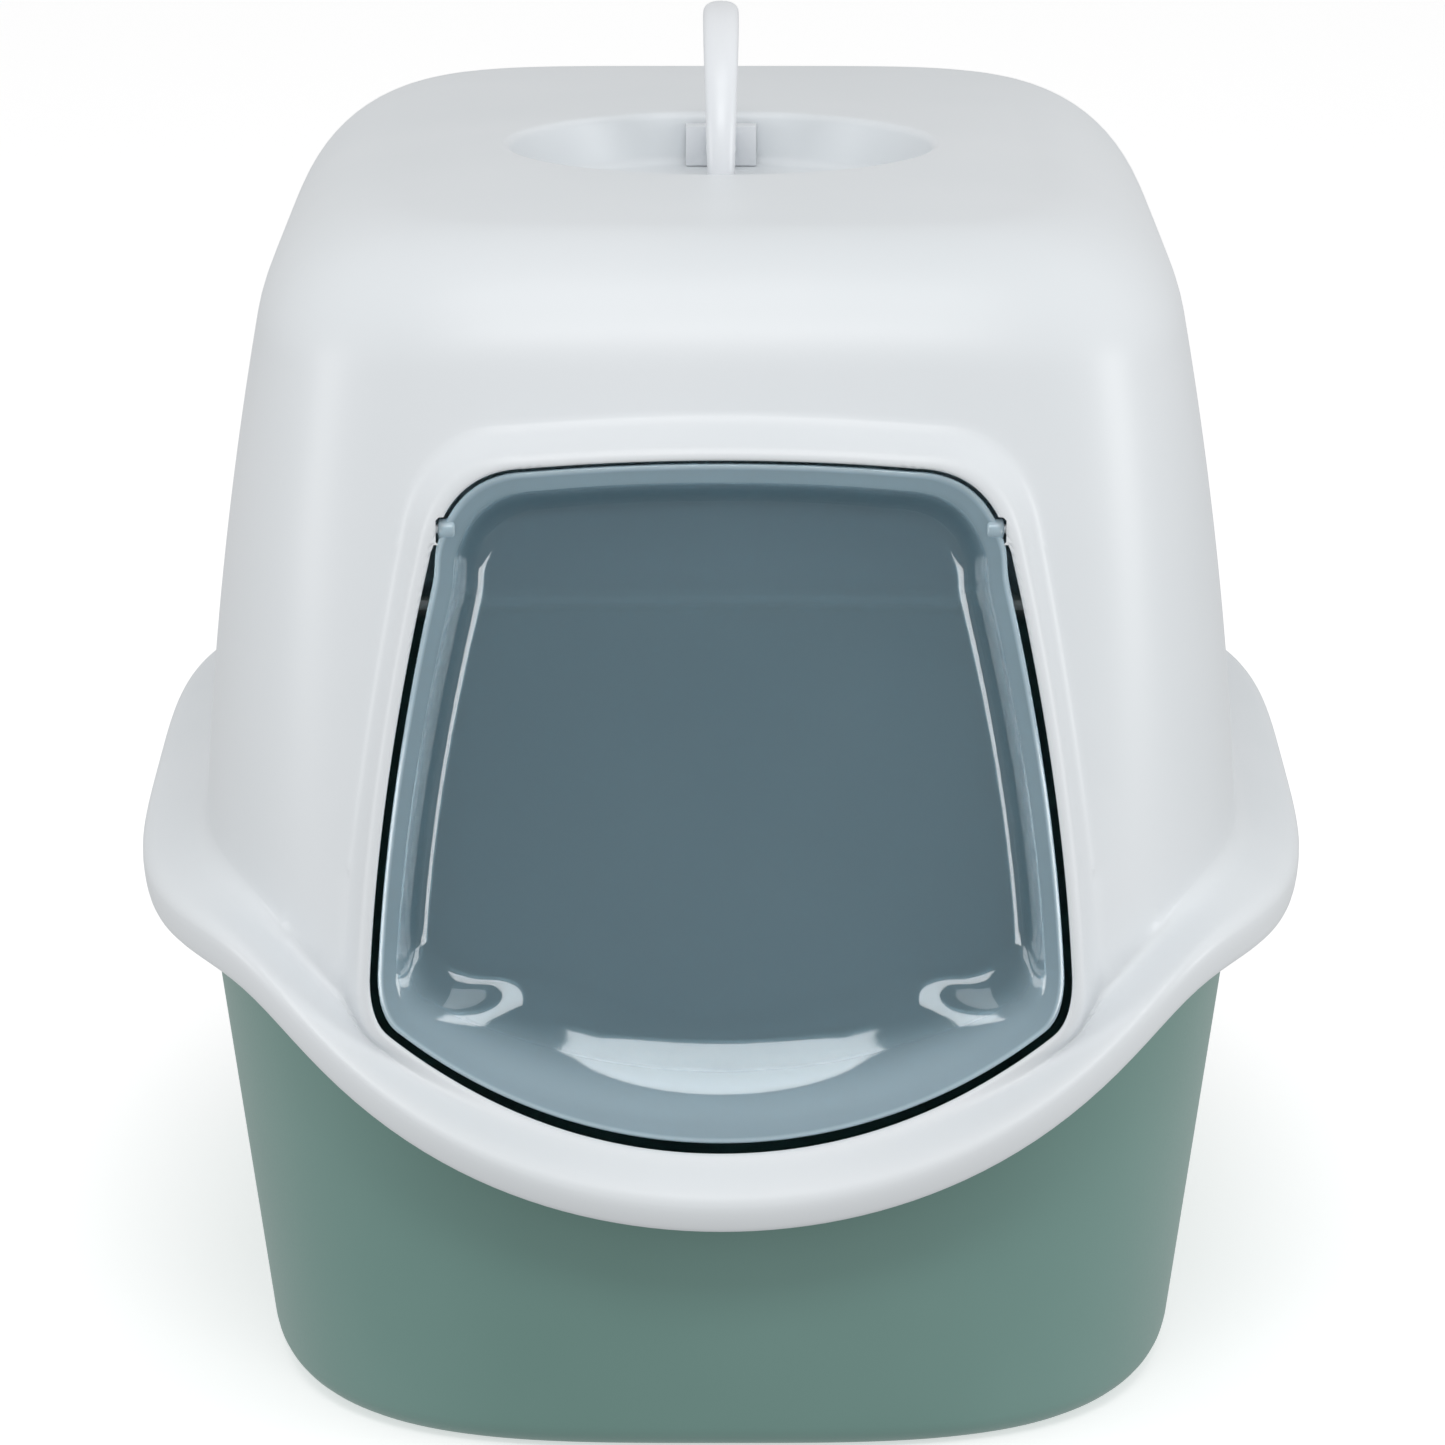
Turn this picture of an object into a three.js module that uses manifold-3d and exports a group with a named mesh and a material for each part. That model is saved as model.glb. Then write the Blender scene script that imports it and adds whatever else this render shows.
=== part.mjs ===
// Hooded cat litter box: a drafted litter tray, a lift-off hood with a circular grip recess and a folding bail
// handle on top, and a clear flap that swings in the framed front opening.
// Millimetres, +Z up. The origin is on the floor under the centre of the box and the entrance faces -Y.
import * as THREE from "three";
import { mergeVertices } from "three/addons/utils/BufferGeometryUtils.js";
import Module from "manifold-3d";

const wasm = await Module();
wasm.setup();

// ---- driving dimensions -------------------------------------------------------------------------------------
const AROUND = 72; // points round a shell section, a multiple of four
const WALL = 2.8; // moulded wall thickness
const FIT = 0.3; // gap between parts that touch or slide

// Rim: the plan outline of the hood's flange, and the height of its lower edge
const FLANGE = { halfWidth: 200.5, front: -280, back: 280, squareness: 3.75, taper: 0.00009 };
const RIM_FRONT = 87; // lower edge of the band at the middle of the entrance
const RIM_RISE = 75.5; // how much higher the band runs along the sides and the back
const SCOOP_RADIUS = 192; // arc of the dip in front
const SCOOP_BLEND = 8; // sharpness of the bend between the dip and the level sides

// Tray
const TRAY_FLOOR = 3; // thickness of the floor
const TRAY_BASE = { halfWidth: 155.8, front: -240, back: 238, squareness: 3.5 };
const TRAY_DRAFT = { side: 0.135, front: 0.145, back: 0.14 }; // outward slope of the walls
const LIP_TOP = 11.2; // tray lip above the band's lower edge
const LIP_INSET = 7; // tray lip inside the flange outline
const LIP_SKIRT = 9; // how far the lip's outer edge turns down
const TRAY_ROUND = { inset: 11, height: 9 }; // rounded edge round the underside

// Hood
const HOOD_TOP = 400; // edge of the grip recess, the highest point of the shell
const TOP_EDGE = 397; // where the slightly domed top meets the rounded edge
const TOP_ROUND = 48; // radius of the edge round the top
const TOP_LEAN = Math.atan(0.17); // lean of the walls where that rounded edge begins
const BAND = { height: 12, shoulder: 15.4, flangeInner: 22.5, wallFoot: 28 }; // heights above the band's lower edge
const HOOD_FOOT = 110; // height at which the wall outline below is given
const HOOD_WALL = { halfWidth: 178, front: -265, back: 262, squareness: 3.6 };
const HOOD_SQUARING = 0.0068; // how much squarer the walls' outline grows, per millimetre of height
const HOOD_LEAN = { side: 0, front: 0.08, back: 0.04 }; // inward slope at the foot
const HOOD_CURVE = { side: 0.00037, front: 0.0003, back: 0.0002 }; // and how fast it grows, per millimetre

// Grip recess and handle; the handle's positions are counted from the middle of the recess
const RECESS = { y: -20, radius: 72.5, floorRadius: 69.5, fillet: 4, depth: 18 };
const RECESS_FLOOR = HOOD_TOP - RECESS.depth;
const PIVOT_Z = 389.5; // handle axis
const HANDLE = { reach: 58.6, halfSpan: 57, width: 12.5, footWidth: 9, thickness: 9, squareness: 2.3, steps: 26 };
const HANDLE_EYE = { radius: 5.4, length: 8, y: 57 };
const HANDLE_PIN = { radius: 2.2, inner: 55.5, outer: 68.5 };
const BRACKET = { width: 25, inner: 62, height: 14, pegRadius: 2.6, pegY: 65.5, pegLength: 10 };

// Entrance and flap. The door surface leans back a little and bows forward at its middle.
const DOOR = { y: -266, z: 110, lean: THREE.MathUtils.degToRad(5), bow: 1800 };
const OPENING = {
  height: 222.5, // sill to top at the middle
  sillRadius: 172,
  foot: 112.3, // half-widths from the foot of the sides up to the ends of the top corners
  waist: { x: 109.3, y: 117 },
  shoulder: { x: 92.5, y: 190 },
  corner: { x: 87, y: 219 },
  top: { x: 62, y: 219.7 },
  footRound: 6,
};
const FRAME = {
  width: 5.5,
  round: 3,
  depth: 60,
  draftFrom: 3, // behind this depth the entrance widens, so that the flap can swing inwards
  draft: 8,
};
const FLAP = { gap: 1.6, thickness: 2.2, rim: 9, dish: 12, set: 2.2 };
const HINGE = {
  y: -242.3, // straight above the flap's centre of mass, so that it hangs closed
  z: 309,
  eyeInner: 81,
  eyeOuter: 89.6,
  eyeRadius: 3.5,
  pinRadius: 1.5,
  pinInner: 83,
  pinOuter: 92.3,
};

// ---- solids -------------------------------------------------------------------------------------------------
function toSolid(geometry) {
  const bare = geometry.index ? geometry.toNonIndexed() : geometry.clone();
  bare.deleteAttribute("normal");
  bare.deleteAttribute("uv");
  const merged = mergeVertices(bare, 1e-4);
  return new wasm.Manifold(
    new wasm.Mesh({
      numProp: 3,
      vertProperties: new Float32Array(merged.attributes.position.array),
      triVerts: new Uint32Array(merged.index.array),
    }),
  );
}

function toGeometry(solid) {
  const mesh = solid.getMesh();
  const geometry = new THREE.BufferGeometry();
  geometry.setAttribute("position", new THREE.BufferAttribute(Float32Array.from(mesh.vertProperties), 3));
  geometry.setIndex(new THREE.BufferAttribute(Uint32Array.from(mesh.triVerts), 1));
  geometry.computeVertexNormals();
  return geometry;
}

// A closed skin through rings of equally many points, from one end point to the other.
function skin(start, rings, end) {
  const count = rings[0].length;
  const points = [start, ...rings.flat(), end];
  const last = points.length - 1;
  const faces = [];
  for (let i = 0; i < count; i++) {
    const next = (i + 1) % count;
    faces.push(0, 1 + next, 1 + i);
    for (let r = 0; r < rings.length - 1; r++) {
      const a = 1 + r * count;
      const b = a + count;
      faces.push(a + i, a + next, b + next, a + i, b + next, b + i);
    }
    const a = 1 + (rings.length - 1) * count;
    faces.push(a + i, a + next, last);
  }
  const geometry = new THREE.BufferGeometry().setFromPoints(points);
  geometry.setIndex(faces);
  return geometry;
}

function cylinder(radius, length, axis, centre, sides = 20) {
  const geometry = new THREE.CylinderGeometry(radius, radius, length, sides);
  if (axis === "x") geometry.rotateZ(Math.PI / 2);
  if (axis === "z") geometry.rotateX(Math.PI / 2);
  return geometry.translate(...centre);
}

function box(size, centre) {
  return new THREE.BoxGeometry(...size).translate(...centre);
}

// ---- plan sections ------------------------------------------------------------------------------------------
// A point of a rounded-rectangle outline, moved inwards by inset. Angle 0 is +X and a quarter turn is +Y.
function planPoint(angle, section, inset = 0) {
  const power = 2 / section.squareness;
  const c = Math.cos(angle);
  const s = Math.sin(angle);
  const halfDepth = (section.back - section.front) / 2 - inset;
  const y = (section.back + section.front) / 2 + halfDepth * Math.sign(s) * Math.abs(s) ** power;
  const widening = 1 + (section.taper ?? 0) * y;
  const x = (section.halfWidth - inset) * Math.sign(c) * Math.abs(c) ** power * widening;
  return { x, y };
}

// Angles that step evenly along the flange outline, starting at +X, alike left and right.
function evenAngles(count) {
  const steps = 4000;
  const outline = { ...FLANGE, taper: 0 };
  const travelled = [0];
  for (let i = 1; i <= steps; i++) {
    const a = planPoint(((i - 1) / steps) * 2 * Math.PI, outline);
    const b = planPoint((i / steps) * 2 * Math.PI, outline);
    travelled.push(travelled[i - 1] + Math.hypot(b.x - a.x, b.y - a.y));
  }
  return Array.from({ length: count }, (_, k) => {
    const goal = (k / count) * travelled[steps];
    const i = Math.max(1, travelled.findIndex((length) => length >= goal));
    const share = (goal - travelled[i - 1]) / (travelled[i] - travelled[i - 1]);
    return ((i - 1 + share) / steps) * 2 * Math.PI;
  });
}

const angles = evenAngles(AROUND);

// Height of the band's lower edge: level along the sides and back, dipping in an arc at the entrance.
function rimHeight(x, y) {
  if (y >= 0) return RIM_FRONT + RIM_RISE;
  const arc = SCOOP_RADIUS - Math.sqrt(Math.max(0, SCOOP_RADIUS ** 2 - x * x));
  return RIM_FRONT + arc * (1 + (arc / RIM_RISE) ** SCOOP_BLEND) ** (-1 / SCOOP_BLEND);
}

function trayWall(z) {
  return {
    halfWidth: TRAY_BASE.halfWidth + TRAY_DRAFT.side * z,
    front: TRAY_BASE.front - TRAY_DRAFT.front * z,
    back: TRAY_BASE.back + TRAY_DRAFT.back * z,
    squareness: TRAY_BASE.squareness,
  };
}

// The hood's walls lean in more and more towards the top.
function hoodWall(z) {
  const up = z - HOOD_FOOT;
  const leanIn = (face) => HOOD_LEAN[face] * up + HOOD_CURVE[face] * up * up;
  return {
    halfWidth: HOOD_WALL.halfWidth - leanIn("side"),
    front: HOOD_WALL.front + leanIn("front"),
    back: HOOD_WALL.back - leanIn("back"),
    squareness: HOOD_WALL.squareness + HOOD_SQUARING * up,
  };
}

// A ring whose height is a number or a function of x and y, on a fixed section or one that changes with height.
// Where both change, a few rounds settle the point and its height on each other.
function ring(section, height, inset = 0) {
  return angles.map((angle) => {
    let z = typeof height === "function" ? RIM_FRONT + RIM_RISE : height;
    let point;
    for (let round = 0; round < 12; round++) {
      point = planPoint(angle, typeof section === "function" ? section(z) : section, inset);
      if (typeof height === "function") z = height(point.x, point.y);
    }
    return new THREE.Vector3(point.x, point.y, z);
  });
}

// A ring round the grip recess, its points in the same directions as those of the flange.
function recessRing(radius, z) {
  return angles.map((angle) => {
    const { x, y } = planPoint(angle, FLANGE);
    const turn = Math.atan2(y, x);
    return new THREE.Vector3(radius * Math.cos(turn), RECESS.y + radius * Math.sin(turn), z);
  });
}

const aboveRim = (offset) => (x, y) => rimHeight(x, y) + offset;
const between = (low, high, share) => (x, y) => low(x, y) + (high - low(x, y)) * share;

// ---- tray ---------------------------------------------------------------------------------------------------
function litterTray() {
  const lipUnder = aboveRim(LIP_TOP - WALL);
  const lipTop = aboveRim(LIP_TOP);
  const skirtEnd = aboveRim(LIP_TOP - LIP_SKIRT);
  const wallAt = (from, share) => (x, y) => from + (lipUnder(x, y) - from) * share;
  const insideFoot = TRAY_FLOOR + 6;
  const rings = [
    ring(trayWall, 0, TRAY_ROUND.inset),
    ring(trayWall, TRAY_ROUND.height / 4, TRAY_ROUND.inset / 3),
    ring(trayWall, TRAY_ROUND.height),
    ...[0.35, 0.7, 1].map((share) => ring(trayWall, wallAt(TRAY_ROUND.height, share))),
    ring(FLANGE, lipUnder, LIP_INSET + WALL),
    ring(FLANGE, skirtEnd, LIP_INSET + WALL),
    ring(FLANGE, skirtEnd, LIP_INSET),
    ring(FLANGE, lipTop, LIP_INSET),
    ring(trayWall, lipTop, WALL),
    ...[0.7, 0.35, 0].map((share) => ring(trayWall, wallAt(insideFoot, share), WALL)),
    ring(trayWall, TRAY_FLOOR + 1.5, WALL + 3),
    ring(trayWall, TRAY_FLOOR, WALL + 8),
  ];
  return skin(new THREE.Vector3(0, 0, 0), rings, new THREE.Vector3(0, 0, TRAY_FLOOR));
}

// ---- hood ---------------------------------------------------------------------------------------------------
// Rings of the hood's skin, from the grip recess out over the top and down to the band, moved inwards by inset.
function hoodRings(inset) {
  const radius = TOP_ROUND - inset;
  const wallTop = TOP_EDGE - TOP_ROUND * (1 - Math.sin(TOP_LEAN));
  const foot = aboveRim(BAND.wallFoot);
  const roundedEdge = [1, 0.8, 0.6, 0.4, 0.2].map((share) => {
    const turn = TOP_LEAN + (Math.PI / 2 - TOP_LEAN) * share;
    const inwards = TOP_ROUND * Math.cos(TOP_LEAN) - radius * Math.cos(turn);
    const z = TOP_EDGE - TOP_ROUND + radius * Math.sin(turn);
    return angles.map((angle) => {
      const { x, y } = planPoint(angle, hoodWall(wallTop), inwards);
      return new THREE.Vector3(x, y, z);
    });
  });
  return [
    recessRing(RECESS.floorRadius - RECESS.fillet + inset * 0.5, RECESS_FLOOR - inset),
    recessRing(RECESS.floorRadius + inset, RECESS_FLOOR + RECESS.fillet - inset * 0.5),
    recessRing(RECESS.radius + inset, HOOD_TOP - 2 - inset * 0.5),
    recessRing(RECESS.radius + 2 + inset * 0.5, HOOD_TOP - inset),
    ...roundedEdge,
    ...[1, 0.66, 0.33, 0].map((share) => ring(hoodWall, between(foot, wallTop, share), inset)),
    ring(hoodWall, aboveRim(BAND.flangeInner - inset), inset - 3),
    ring(FLANGE, aboveRim(BAND.shoulder - inset), 4 + inset * 0.5),
    ring(FLANGE, aboveRim(BAND.height - inset * 0.7), 1.2 + inset),
    ring(FLANGE, aboveRim(0), inset),
  ];
}

function hoodShell() {
  const outside = hoodRings(0);
  const inside = hoodRings(WALL);
  const floorMiddle = new THREE.Vector3(0, RECESS.y, RECESS_FLOOR);
  const underMiddle = new THREE.Vector3(0, RECESS.y, RECESS_FLOOR - WALL);
  let solid = toSolid(skin(underMiddle, [...inside, ...outside.reverse()], floorMiddle));

  // Frame round the entrance, as deep as the wall behind it, then the entrance itself
  const levels = [50, 110, 170, 230, 290, 350];
  const insideVolume = skin(
    new THREE.Vector3(0, 0, levels[0]),
    levels.map((z) => ring(hoodWall, z, WALL)),
    new THREE.Vector3(0, 0, levels.at(-1)),
  );
  const frame = doorSkin([
    [FRAME.round - FRAME.width, 0],
    [FRAME.round / 4 - FRAME.width, FRAME.round / 4],
    [-FRAME.width, FRAME.round],
    [-FRAME.width, FRAME.depth],
  ]);
  const entrance = doorSkin([
    [0, -FRAME.depth],
    [0, FRAME.draftFrom],
    [-FRAME.draft, FRAME.depth],
  ]);
  solid = solid.add(toSolid(frame).subtract(toSolid(insideVolume))).subtract(toSolid(entrance));

  // A notch for each eye of the flap with the pin's socket behind it, and a hole for each bracket's peg
  for (const side of [-1, 1]) {
    const room = HINGE.eyeRadius + 1;
    const length = 24;
    const notchX = side * (HINGE.eyeOuter + 2 * FIT - length / 2);
    const socketX = side * (HINGE.pinOuter + FIT - length / 4);
    const cuts = [
      cylinder(room, length, "x", [notchX, HINGE.y, HINGE.z]),
      box([length, 20, 2 * room], [notchX, HINGE.y - 10, HINGE.z]),
      cylinder(HINGE.pinRadius + FIT, length / 2, "x", [socketX, HINGE.y, HINGE.z], 16),
    ];
    for (const cut of cuts) solid = solid.subtract(toSolid(cut));
    const pegPlace = [0, RECESS.y + side * BRACKET.pegY, RECESS_FLOOR];
    solid = solid.subtract(toSolid(cylinder(BRACKET.pegRadius + FIT, 30, "z", pegPlace, 16)));
  }
  return toGeometry(solid);
}

// ---- entrance outline ---------------------------------------------------------------------------------------
// Half the outline of the entrance, moved inwards by inset, in the door surface: x across and y up from the sill.
function entranceHalf(inset) {
  const o = OPENING;
  const foot = o.foot - inset;
  const radius = o.sillRadius - inset;
  const sillEnd = Math.asin((foot - o.footRound) / radius);
  const endY = o.sillRadius - radius * Math.cos(sillEnd);
  const shape = new THREE.Shape();
  shape.absarc(0, o.sillRadius, radius, -Math.PI / 2, sillEnd - Math.PI / 2);
  shape.quadraticCurveTo(foot, endY + o.footRound * Math.tan(sillEnd), foot, endY + 3 * o.footRound);
  shape.quadraticCurveTo(o.waist.x - inset, o.waist.y, o.shoulder.x - inset, o.shoulder.y - inset / 2);
  shape.quadraticCurveTo(o.corner.x - inset, o.corner.y - inset, o.top.x - inset * 0.6, o.top.y - inset);
  shape.quadraticCurveTo(o.top.x / 2, o.height - inset, 0, o.height - inset);
  const divisions = [9, 3, 5, 5, 3];
  return shape.curves.flatMap((curve, k) => curve.getPoints(divisions[k]).slice(0, -1));
}

// The whole outline, closed by the mirror image of its half.
function entranceOutline(inset) {
  const half = entranceHalf(inset);
  const top = new THREE.Vector2(0, OPENING.height - inset);
  const mirrored = half.slice(1).reverse().map((p) => new THREE.Vector2(-p.x, p.y));
  return [...half, top, ...mirrored];
}

// From the door surface (x across, y up from the sill, depth behind the surface) to the box.
function doorPoint(x, y, depth) {
  const s = Math.sin(DOOR.lean);
  const c = Math.cos(DOOR.lean);
  return new THREE.Vector3(x, DOOR.y + y * s + depth * c + (x * x) / (2 * DOOR.bow), DOOR.z + y * c - depth * s);
}

// A closed skin through outlines of the entrance, given as pairs of inset and depth.
function doorSkin(stations) {
  const rings = stations.map(([inset, depth]) =>
    entranceOutline(inset).reverse().map((p) => doorPoint(p.x, p.y, depth)),
  );
  const first = stations[0][1];
  const last = stations.at(-1)[1];
  const middle = OPENING.height * 0.5;
  return skin(doorPoint(0, middle, first), rings, doorPoint(0, middle, last));
}

// ---- flap ---------------------------------------------------------------------------------------------------
// A clear dished flap: flat rim, rounded step, and an eye on each side that turns on a pin of the frame.
function swingDoor() {
  const { gap, thickness, rim, dish, set } = FLAP;
  const front = [
    [gap + rim + 22, set + dish],
    [gap + rim + 9, set + dish - 0.6],
    [gap + rim + 3, set + dish - 4.5],
    [gap + rim - 3, set + 0.6],
    [gap, set],
  ];
  const back = front.map(([inset, depth]) => [inset + (inset > gap ? 0.8 : 0), depth + thickness]).reverse();
  let solid = toSolid(doorSkin([...front, ...back]));
  const eyeLength = HINGE.eyeOuter - HINGE.eyeInner;
  for (const side of [-1, 1]) {
    const place = [side * (HINGE.eyeInner + eyeLength / 2), HINGE.y, HINGE.z];
    solid = solid.add(toSolid(cylinder(HINGE.eyeRadius, eyeLength, "x", place)));
    solid = solid.subtract(toSolid(cylinder(HINGE.pinRadius + FIT, eyeLength + 4, "x", place, 16)));
  }
  return toGeometry(solid);
}

function doorPin(side) {
  const length = HINGE.pinOuter - HINGE.pinInner;
  return cylinder(HINGE.pinRadius, length, "x", [side * (HINGE.pinInner + length / 2), HINGE.y, HINGE.z], 16);
}

// ---- handle -------------------------------------------------------------------------------------------------
// The bail's centre line: an arch over the recess from one eye to the other, in the plane x = 0.
function bailPoint(t) {
  const angle = Math.PI * t;
  const power = 2 / HANDLE.squareness;
  const c = Math.cos(angle);
  const y = HANDLE.halfSpan * Math.sign(c) * Math.abs(c) ** power;
  const rise = HANDLE.reach - HANDLE.thickness / 2;
  return new THREE.Vector3(0, y, PIVOT_Z + rise * Math.max(0, Math.sin(angle)) ** power);
}

// A rounded cross-section of the bail, square to its centre line and narrowing towards the feet.
function bailRing(t) {
  const step = 0.004;
  const centre = bailPoint(t);
  const along = bailPoint(Math.min(1, t + step)).sub(bailPoint(Math.max(0, t - step))).normalize();
  const outwards = new THREE.Vector3(0, along.z, -along.y);
  const halfWidth = (HANDLE.footWidth + (HANDLE.width - HANDLE.footWidth) * Math.sin(Math.PI * t)) / 2;
  return new THREE.EllipseCurve(0, 0, halfWidth, HANDLE.thickness / 2)
    .getPoints(14)
    .slice(0, -1)
    .map((p) => centre.clone().addScaledVector(outwards, p.y).add(new THREE.Vector3(p.x, 0, 0)));
}

function carryHandle() {
  const shares = Array.from({ length: HANDLE.steps + 1 }, (_, i) => i / HANDLE.steps);
  let solid = toSolid(skin(bailPoint(0), shares.map(bailRing), bailPoint(1)));
  for (const side of [-1, 1]) {
    const place = [0, side * HANDLE_EYE.y, PIVOT_Z];
    solid = solid.add(toSolid(cylinder(HANDLE_EYE.radius, HANDLE_EYE.length, "y", place)));
  }
  for (const side of [-1, 1]) {
    const place = [0, side * (HANDLE_PIN.inner + 10 - FIT), PIVOT_Z];
    solid = solid.subtract(toSolid(cylinder(HANDLE_PIN.radius + FIT, 20, "y", place, 16)));
  }
  return toGeometry(solid);
}

function handlePin(side) {
  const length = HANDLE_PIN.outer - HANDLE_PIN.inner;
  return cylinder(HANDLE_PIN.radius, length, "y", [0, (side * (HANDLE_PIN.outer + HANDLE_PIN.inner)) / 2, PIVOT_Z], 16);
}

// The block that carries a handle pin: it stands on the recess floor against the recess wall, held by a peg.
function handleBracket(side) {
  const depth = RECESS.radius - BRACKET.inner;
  const underside = RECESS_FLOOR + FIT;
  const block = box(
    [BRACKET.width, depth, BRACKET.height],
    [0, side * (BRACKET.inner + depth / 2), underside + BRACKET.height / 2],
  );
  const clear = 2 * FIT;
  const recessProfile = [
    [0, underside],
    [RECESS.floorRadius - RECESS.fillet - clear, underside],
    [RECESS.floorRadius - clear, RECESS_FLOOR + RECESS.fillet],
    [RECESS.radius - clear, HOOD_TOP - 2],
    [0, HOOD_TOP - 2],
  ].map(([radius, z]) => new THREE.Vector2(radius, z));
  const recess = new THREE.LatheGeometry(recessProfile, AROUND).rotateX(Math.PI / 2);
  const peg = cylinder(BRACKET.pegRadius, BRACKET.pegLength, "z", [0, side * BRACKET.pegY, underside], 16);
  const pinHole = cylinder(HANDLE_PIN.radius + FIT, 40, "y", [0, side * BRACKET.pegY, PIVOT_Z], 16);
  return toGeometry(toSolid(block).intersect(toSolid(recess)).add(toSolid(peg)).subtract(toSolid(pinHole)));
}

// ---- assembly -----------------------------------------------------------------------------------------------
const plastic = (color, roughness) => new THREE.MeshStandardMaterial({ color, roughness, metalness: 0 });
const materials = {
  tray: plastic(0x6b8f86, 0.5),
  hood: plastic(0xe4e8ea, 0.45),
  flap: new THREE.MeshStandardMaterial({ color: 0xb9d2dc, roughness: 0.08, transparent: true, opacity: 0.4 }),
  fitting: plastic(0xdfe4e6, 0.4),
  pin: plastic(0xd8dcde, 0.4),
};

function node(name, geometry, material) {
  const mesh = new THREE.Mesh(geometry, material);
  mesh.name = name;
  return mesh;
}

const tray = new THREE.Group();
tray.add(node("litter_tray", litterTray(), materials.tray));

const hood = new THREE.Group();
hood.add(node("hood_shell", hoodShell(), materials.hood));
hood.add(node("door_pin_left", doorPin(-1), materials.pin));
hood.add(node("door_pin_right", doorPin(1), materials.pin));
hood.add(node("swing_door", swingDoor(), materials.flap));

const grip = new THREE.Group();
grip.position.y = RECESS.y;
grip.add(node("handle_bracket_front", handleBracket(-1), materials.fitting));
grip.add(node("handle_bracket_rear", handleBracket(1), materials.fitting));
grip.add(node("handle_pin_front", handlePin(-1), materials.pin));
grip.add(node("handle_pin_rear", handlePin(1), materials.pin));
grip.add(node("carry_handle", carryHandle(), materials.fitting));
hood.add(grip);

const litterBox = new THREE.Group();
litterBox.add(tray, hood);

export default litterBox;
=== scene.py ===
"""Hooded cat litter box: the visible surfaces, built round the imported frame.

Lengths are in millimetres, apart from the stage, the lights and the camera, which are in metres.
"""
import math

import bmesh
import bpy
import numpy as np
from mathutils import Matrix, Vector
from mathutils.geometry import delaunay_2d_cdt


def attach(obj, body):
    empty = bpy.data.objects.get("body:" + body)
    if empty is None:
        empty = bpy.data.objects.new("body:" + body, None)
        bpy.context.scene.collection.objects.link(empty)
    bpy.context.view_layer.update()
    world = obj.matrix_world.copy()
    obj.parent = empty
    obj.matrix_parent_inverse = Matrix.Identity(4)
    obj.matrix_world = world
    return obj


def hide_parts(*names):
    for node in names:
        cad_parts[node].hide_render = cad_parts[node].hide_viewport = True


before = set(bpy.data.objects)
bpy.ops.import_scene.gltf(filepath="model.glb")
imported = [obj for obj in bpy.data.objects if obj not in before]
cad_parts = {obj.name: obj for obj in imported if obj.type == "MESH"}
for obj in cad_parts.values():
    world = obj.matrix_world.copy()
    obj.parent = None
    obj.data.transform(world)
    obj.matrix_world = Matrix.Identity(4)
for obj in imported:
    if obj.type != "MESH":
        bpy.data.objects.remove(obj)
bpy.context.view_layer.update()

MM = 0.001

# ---- dimensions: those of the solids, but for a tray lip 0.4 mm lower ----------------------------
WALL = 2.8
FLANGE = (200.5, -280.0, 280.0, 3.75, 0.00009)  # half-width, front, back, squareness, widening to the back
RIM_FRONT, RIM_RISE, SCOOP_RADIUS, SCOOP_BLEND = 87.0, 75.5, 192.0, 8
TRAY_FLOOR = 3.0
LIP_TOP, LIP_INSET, LIP_SKIRT = 10.8, 7.0, 9.0
HOOD_TOP, TOP_EDGE, TOP_ROUND, TOP_LEAN = 400.0, 397.0, 48.0, math.atan(0.17)
HOOD_FOOT = 110.0  # height from which the lean of the hood's walls is counted
LEAN_FRONT, LEAN_BACK = 0.08, 0.04  # inward slope at that height
CURVE_SIDE, CURVE_FRONT, CURVE_BACK = 0.00037, 0.0003, 0.0002  # and its growth, per millimetre
SQUARING = 0.0068  # how fast the plan of the walls grows squarer
WALL_TOP = TOP_EDGE - TOP_ROUND * (1 - math.sin(TOP_LEAN))
WALL_FOOT = 27.5
RECESS_Y, RECESS_R, RECESS_FLOOR_R, RECESS_FLOOR = -20.0, 72.5, 69.5, 382.0
DOOR_Y, DOOR_Z, DOOR_LEAN, DOOR_BOW = -266.0, 110.0, math.radians(5), 1800.0
REVEAL_DRAFT = 1.8
SILL_RADIUS, ENTRANCE_HALF = 172.0, 112.3
FLAP_THICK, FLAP_DISH, FLAP_SET = 2.2, 12.4, 2.2
HINGE_Y, HINGE_Z, EYE_R, EYE_OUT = -242.3, 309.0, 3.5, 89.6
PIVOT_Z, HANDLE_HALF, HANDLE_RISE = 389.5, 57.0, 54.1

AROUND = 288  # points in every ring
WINDOW_REACH = 29  # points of a ring on each side of the middle that the entrance is let into
AIM_HEIGHT = 0.2  # metres; the lights and the camera's tilt are laid out about this point


# ---- mesh helpers --------------------------------------------------------------------------------
def make_object(name, verts, faces, sharp_deg=40.0, merge=1e-4):
    """A smooth-shaded object, with coincident vertices merged and normals outwards."""
    mesh = bpy.data.meshes.new(name)
    metres = [tuple(v) for v in np.asarray(verts, float) * MM]
    mesh.from_pydata(metres, [], [list(map(int, f)) for f in faces])
    bm = bmesh.new()
    bm.from_mesh(mesh)
    bmesh.ops.remove_doubles(bm, verts=bm.verts, dist=merge * MM * 10)
    bmesh.ops.dissolve_degenerate(bm, dist=1e-7, edges=bm.edges)
    bmesh.ops.recalc_face_normals(bm, faces=bm.faces)
    open_edges = sum(1 for e in bm.edges if len(e.link_faces) != 2)
    bm.to_mesh(mesh)
    bm.free()
    if open_edges:
        print(f"{name}: {open_edges} edges don't join two faces")
    mesh.shade_smooth()
    mesh.set_sharp_from_angle(angle=math.radians(sharp_deg))
    obj = bpy.data.objects.new(name, mesh)
    bpy.context.scene.collection.objects.link(obj)
    return obj


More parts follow.
